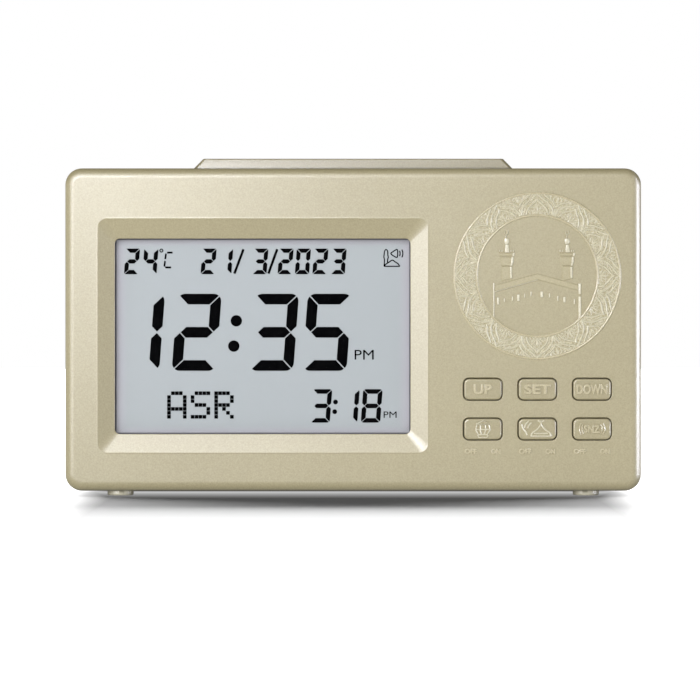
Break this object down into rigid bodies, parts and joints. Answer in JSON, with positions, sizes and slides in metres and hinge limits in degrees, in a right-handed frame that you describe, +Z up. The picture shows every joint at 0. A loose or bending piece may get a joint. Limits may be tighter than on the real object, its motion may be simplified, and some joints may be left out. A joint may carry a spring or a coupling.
{
  "type": "prayer time clock",
  "caption": "Desk clock with a sunken display window, six push keys under a round ornament, a long snooze bar on top and a battery bay behind.",
  "frame": {"origin": "middle of the footprint, on the surface the feet stand on", "axes": "+X to the right of a viewer who faces the display, +Y from the front to the back, +Z up"},
  "size_m": [0.145, 0.0456, 0.085],
  "materials": {
    "case_shell": "champagne metallic paint on moulded plastic",
    "bar_shell": "champagne metallic paint, semi-gloss",
    "key_shell": "champagne metallic paint, embossed signs",
    "clear_lens": "clear acrylic",
    "display_glass": "thin polarised glass",
    "light_guide": "milky acrylic",
    "dark_frame": "black moulding",
    "black_rubber": "striped contact rubber",
    "lamp": "white LED package",
    "board": "green solder resist",
    "screw_steel": "zinc-plated steel",
    "chip_resin": "black resin",
    "can_steel": "nickel-plated can",
    "can_aluminium": "sleeved can with a bare top",
    "sensor_bead": "epoxy bead",
    "switch_body": "black switch body",
    "switch_plunger": "black plunger",
    "cell_wrap": "plain wrapped dry cell",
    "contact_nickel": "nickel-plated spring steel",
    "speaker_steel": "zinc-plated pressing",
    "ferrite": "sintered ferrite with a plated yoke",
    "cone_paper": "pressed paper cone",
    "gasket_card": "fibre gasket",
    "lead_red": "red insulation",
    "lead_black": "black insulation"
  },
  "bodies": {
    "case": {"front_case": "case_shell", "rear_cover": "case_shell", "lcd_lens": "clear_lens", "lcd_front_glass": "display_glass", "lcd_rear_glass": "display_glass", "lcd_light_guide": "light_guide", "lcd_holder": "dark_frame", "lcd_rubber_strip": "black_rubber", "backlight_leds": "lamp", "main_board": "board", "board_screws": "screw_steel", "case_screws": "screw_steel", "speaker_screws": "screw_steel", "clock_chip": "chip_resin", "sound_chip": "chip_resin", "quartz_crystal": "can_steel", "capacitors": "can_aluminium", "temperature_sensor": "sensor_bead", "snooze_bar_switch": "switch_body", "battery_lower": "cell_wrap", "battery_upper": "cell_wrap", "battery_minus_contact": "contact_nickel", "battery_plus_contact": "contact_nickel", "battery_bridge_contact": "contact_nickel", "battery_minus_spring": "contact_nickel", "battery_bridge_spring": "contact_nickel", "speaker_frame": "speaker_steel", "speaker_magnet": "ferrite", "speaker_cone": "cone_paper", "speaker_gasket": "gasket_card", "speaker_lead_red": "lead_red", "battery_lead_red": "lead_red", "speaker_lead_black": "lead_black", "battery_lead_black": "lead_black", "switch_light": "switch_body", "switch_azan": "switch_body", "switch_snooze": "switch_body", "switch_up": "switch_body", "switch_set": "switch_body", "switch_down": "switch_body"},
    "key_light": {"key_light": "key_shell", "plunger_light": "switch_plunger"},
    "key_azan": {"key_azan": "key_shell", "plunger_azan": "switch_plunger"},
    "key_snooze": {"key_snooze": "key_shell", "plunger_snooze": "switch_plunger"},
    "key_up": {"key_up": "key_shell", "plunger_up": "switch_plunger"},
    "key_set": {"key_set": "key_shell", "plunger_set": "switch_plunger"},
    "key_down": {"key_down": "key_shell", "plunger_down": "switch_plunger"},
    "snooze_bar": {"snooze_bar": "bar_shell", "snooze_bar_plunger": "switch_plunger"},
    "battery_door": {"battery_door": "case_shell"}
  },
  "joints": [
    {"name": "key_light_press", "type": "slide", "parent": "case", "child": "key_light", "axis": [0, 1, 0], "range_m": [0, 0.0006], "stiffness_N_per_m": 800, "springref_m": -0.0005},
    {"name": "key_azan_press", "type": "slide", "parent": "case", "child": "key_azan", "axis": [0, 1, 0], "range_m": [0, 0.0006], "stiffness_N_per_m": 800, "springref_m": -0.0005},
    {"name": "key_snooze_press", "type": "slide", "parent": "case", "child": "key_snooze", "axis": [0, 1, 0], "range_m": [0, 0.0006], "stiffness_N_per_m": 800, "springref_m": -0.0005},
    {"name": "key_up_press", "type": "slide", "parent": "case", "child": "key_up", "axis": [0, 1, 0], "range_m": [0, 0.0006], "stiffness_N_per_m": 800, "springref_m": -0.0005},
    {"name": "key_set_press", "type": "slide", "parent": "case", "child": "key_set", "axis": [0, 1, 0], "range_m": [0, 0.0006], "stiffness_N_per_m": 800, "springref_m": -0.0005},
    {"name": "key_down_press", "type": "slide", "parent": "case", "child": "key_down", "axis": [0, 1, 0], "range_m": [0, 0.0006], "stiffness_N_per_m": 800, "springref_m": -0.0005},
    {"name": "snooze_bar_press", "type": "slide", "parent": "case", "child": "snooze_bar", "axis": [0, 0, -1], "range_m": [0, 0.0009], "stiffness_N_per_m": 800, "springref_m": -0.0005},
    {"name": "battery_door_hinge", "type": "hinge", "parent": "case", "child": "battery_door", "pos_m": [-0.03, 0.0228, 0.01255], "axis": [-1, 0, 0], "range_deg": [0, 60]}
  ]
}
